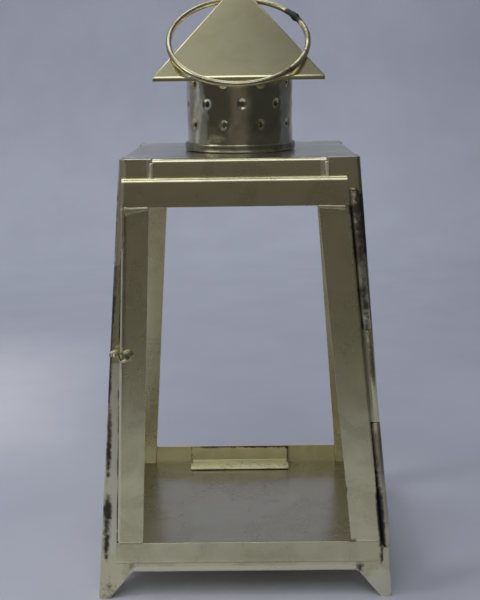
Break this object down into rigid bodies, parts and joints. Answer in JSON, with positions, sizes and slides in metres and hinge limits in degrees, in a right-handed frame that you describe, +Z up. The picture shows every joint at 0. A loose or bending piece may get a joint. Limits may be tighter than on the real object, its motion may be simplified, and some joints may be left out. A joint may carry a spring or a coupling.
{
  "type": "hanging lantern",
  "caption": "Tapered square brass lantern with open sides, a pin-hinged front door with a wire latch, pierced round chimney, pyramid roof and swinging carrying ring.",
  "frame": {"origin": "on the ground under the middle of the whole outline; the body's upright axis is 2.1 mm behind it", "axes": "+Z up, the door faces -Y, its hinge is at +X and its latch at -X"},
  "size_m": [0.16, 0.1642, 0.3269],
  "materials": {
    "body_brass": "satin lacquered pale brass sheet, hand soldered, some burn marks",
    "floor_brass": "satin pale brass sheet, lightly scratched",
    "top_brass": "semi-polished pale brass sheet",
    "chimney_brass": "polished pale brass sheet, punched holes",
    "roof_brass": "semi-polished pale brass sheet",
    "ring_brass": "polished brass wire with one dark brazed joint",
    "door_brass": "satin pale brass strip, fine brushing along its length",
    "burnt_brass": "brass darkened by soldering",
    "pin_brass": "plain brass wire",
    "latch_brass": "bright yellow brass wire",
    "clip_brass": "bright pale brass strip"
  },
  "bodies": {
    "body": {"corner_post_front_right": "body_brass", "corner_post_rear_right": "body_brass", "corner_post_rear_left": "body_brass", "corner_post_front_left": "body_brass", "top_rail_front": "body_brass", "top_rail_right": "body_brass", "top_rail_rear": "body_brass", "top_rail_left": "body_brass", "bottom_rail_front": "body_brass", "bottom_rail_right": "body_brass", "bottom_rail_rear": "body_brass", "bottom_rail_left": "body_brass", "floor_plate": "floor_brass", "top_plate": "top_brass", "chimney": "chimney_brass", "chimney_bead": "chimney_brass", "roof": "roof_brass", "hinge_knuckle_lower": "burnt_brass", "hinge_knuckle_upper": "burnt_brass", "hinge_pin": "pin_brass", "latch_peg": "latch_brass", "rear_pane_clip": "clip_brass"},
    "door": {"door_top_strip": "door_brass", "door_bottom_strip": "door_brass", "door_latch_stile": "door_brass", "door_hinge_stile": "door_brass", "hinge_knuckle_door": "door_brass", "latch_rivet": "latch_brass"},
    "ring": {"carrying_ring": "ring_brass"},
    "latch": {"latch_hook": "latch_brass"}
  },
  "joints": [
    {"name": "door_hinge", "type": "hinge", "parent": "body", "child": "door", "pos_m": [0.07621, -0.07826, 0.03068], "axis": [-0.0939, 0.0756, 0.9927], "range_deg": [0, 165]},
    {"name": "ring_swing", "type": "hinge", "parent": "body", "child": "ring", "pos_m": [0, 0.00212, 0.3177], "axis": [-1, 0, 0], "range_deg": [0, 254.9]},
    {"name": "latch_turn", "type": "hinge", "parent": "door", "child": "latch", "pos_m": [-0.05954, -0.06753, 0.136], "axis": [0, 0.9971, -0.0759], "range_deg": [0, 100]}
  ]
}
